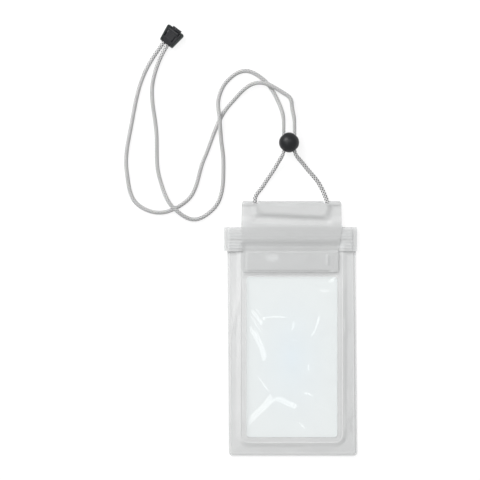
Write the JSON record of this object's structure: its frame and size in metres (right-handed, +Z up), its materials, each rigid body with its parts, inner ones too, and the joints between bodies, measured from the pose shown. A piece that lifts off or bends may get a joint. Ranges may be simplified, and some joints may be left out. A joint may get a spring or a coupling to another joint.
{
  "type": "waterproof phone case",
  "caption": "Flat pouch of frosted and clear film with windows, a folded press-strip mouth held by a flap, and a braided neck cord with a ball stopper and an end clip.",
  "frame": {"origin": "on the table, under the middle of the pouch with its flap; the cord and what is on it are not counted", "axes": "+Y along the pouch from its bottom edge to its flap, +X to the right seen from the front window, +Z up, out of the front window"},
  "size_m": [0.1901, 0.3535, 0.0166],
  "materials": {
    "frosted_film": "frosted soft vinyl sheet, satin",
    "clear_film": "clear soft vinyl film, glossy",
    "strip_plastic": "extruded soft vinyl strip",
    "hook_and_loop": "white hook-and-loop tape",
    "braided_cord": "grey braided polyester",
    "black_plastic": "moulded black plastic, satin"
  },
  "bodies": {
    "pouch": {"back_panel": "frosted_film", "back_film": "clear_film", "front_film": "clear_film", "front_panel": "frosted_film", "press_strip_groove_1": "strip_plastic", "press_strip_bead_1": "strip_plastic", "press_strip_groove_2": "strip_plastic", "press_strip_bead_2": "strip_plastic", "flap": "frosted_film", "loop_pad": "hook_and_loop", "hook_pad": "hook_and_loop", "neck_cord": "braided_cord", "clip_base": "black_plastic", "clip_lid": "black_plastic", "cord_knot_left": "braided_cord", "cord_knot_right": "braided_cord"},
    "ball": {"ball_stopper": "black_plastic"}
  },
  "joints": [
    {"name": "ball_slide", "type": "slide", "parent": "pouch", "child": "ball", "axis": [0, 1, 0], "range_m": [0, 0.008]}
  ]
}
